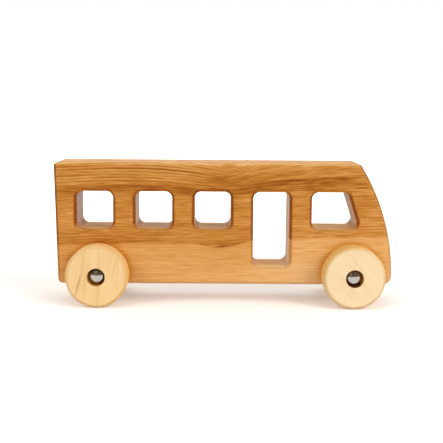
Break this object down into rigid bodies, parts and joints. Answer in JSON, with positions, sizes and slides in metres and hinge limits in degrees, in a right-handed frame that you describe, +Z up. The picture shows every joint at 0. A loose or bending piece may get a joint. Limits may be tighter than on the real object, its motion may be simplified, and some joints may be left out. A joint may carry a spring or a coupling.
{
  "type": "wooden toy bus",
  "caption": "Push-along wooden toy bus: a solid block with a curved nose and routed window and door openings, on turned wheels that spin on steel axles under domed caps.",
  "frame": {"origin": "on the floor under the middle of the bus, midway between its ends and its sides", "axes": "+X towards the nose, +Y to the bus's left side, +Z up"},
  "size_m": [0.2755, 0.0862, 0.1154],
  "materials": {
    "block_wood": "sanded and oiled solid wood, warm orange-brown, horizontal grain",
    "rear_wheel_wood": "sanded bare pale wood, straw-coloured",
    "front_wheel_wood": "sanded bare pale wood, cream-coloured",
    "axle_steel": "drawn bright rod",
    "cap_steel": "bright plated pressing",
    "grip_steel": "dark spring steel"
  },
  "bodies": {
    "bus": {"bus_body": "block_wood"},
    "front_axle_set": {"front_axle": "axle_steel", "front_left_cap": "cap_steel", "front_right_cap": "cap_steel", "front_left_grip_ring": "grip_steel", "front_right_grip_ring": "grip_steel"},
    "rear_axle_set": {"rear_axle": "axle_steel", "rear_left_cap": "cap_steel", "rear_right_cap": "cap_steel", "rear_left_grip_ring": "grip_steel", "rear_right_grip_ring": "grip_steel"},
    "front_left_wheel": {"front_left_wheel": "front_wheel_wood"},
    "front_right_wheel": {"front_right_wheel": "front_wheel_wood"},
    "rear_left_wheel": {"rear_left_wheel": "rear_wheel_wood"},
    "rear_right_wheel": {"rear_right_wheel": "rear_wheel_wood"}
  },
  "joints": [
    {"name": "front_axle_spin", "type": "hinge", "parent": "bus", "child": "front_axle_set", "pos_m": [0.1045, 0, 0.025], "axis": [0, 1, 0], "continuous": true},
    {"name": "rear_axle_spin", "type": "hinge", "parent": "bus", "child": "rear_axle_set", "pos_m": [-0.1015, 0, 0.025], "axis": [0, 1, 0], "continuous": true},
    {"name": "front_left_wheel_spin", "type": "hinge", "parent": "front_axle_set", "child": "front_left_wheel", "pos_m": [0.1045, 0.0331, 0.025], "axis": [0, 1, 0], "continuous": true},
    {"name": "front_right_wheel_spin", "type": "hinge", "parent": "front_axle_set", "child": "front_right_wheel", "pos_m": [0.1045, -0.0331, 0.025], "axis": [0, 1, 0], "continuous": true},
    {"name": "rear_left_wheel_spin", "type": "hinge", "parent": "rear_axle_set", "child": "rear_left_wheel", "pos_m": [-0.1015, 0.0331, 0.025], "axis": [0, 1, 0], "continuous": true},
    {"name": "rear_right_wheel_spin", "type": "hinge", "parent": "rear_axle_set", "child": "rear_right_wheel", "pos_m": [-0.1015, -0.0331, 0.025], "axis": [0, 1, 0], "continuous": true}
  ]
}
